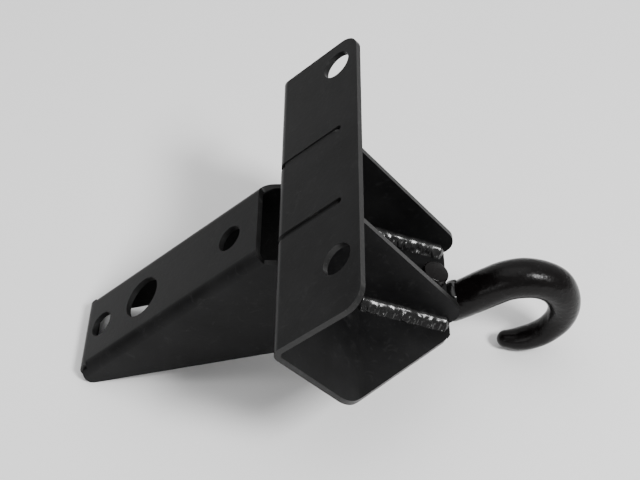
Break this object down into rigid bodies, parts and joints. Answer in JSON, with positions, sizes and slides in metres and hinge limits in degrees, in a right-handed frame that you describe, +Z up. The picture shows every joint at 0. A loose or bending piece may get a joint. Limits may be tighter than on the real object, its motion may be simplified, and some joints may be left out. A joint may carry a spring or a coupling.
{
  "type": "bumper bracket with tow hook",
  "caption": "Welded sheet steel bumper bracket: a tapering channel arm through a folded cross bracket, with a forged round tow hook at the back.",
  "frame": {"origin": "centre of the bounding box on the surface the part lies on", "axes": "+Z up, +X from the narrow arm end towards the hook, +Y across the arm, up the tall plate"},
  "size_m": [0.2608, 0.1764, 0.1436],
  "materials": {
    "arm_paint": "satin black",
    "cross_paint": "satin black",
    "hook_enamel": "gloss black",
    "weld_paint": "gloss black over a rippled bead"
  },
  "bodies": {
    "root": {"arm_channel": "arm_paint", "cross_bracket": "cross_paint", "tow_hook": "hook_enamel", "flange_weld_far_inner": "weld_paint", "flange_weld_far_outer": "weld_paint", "flange_weld_near_inner": "weld_paint", "flange_weld_near_outer": "weld_paint", "shank_weld": "weld_paint", "side_weld_far": "weld_paint", "side_weld_near": "weld_paint", "slot_weld_far": "weld_paint", "slot_weld_near": "weld_paint", "tail_weld": "weld_paint"}
  },
  "joints": []
}
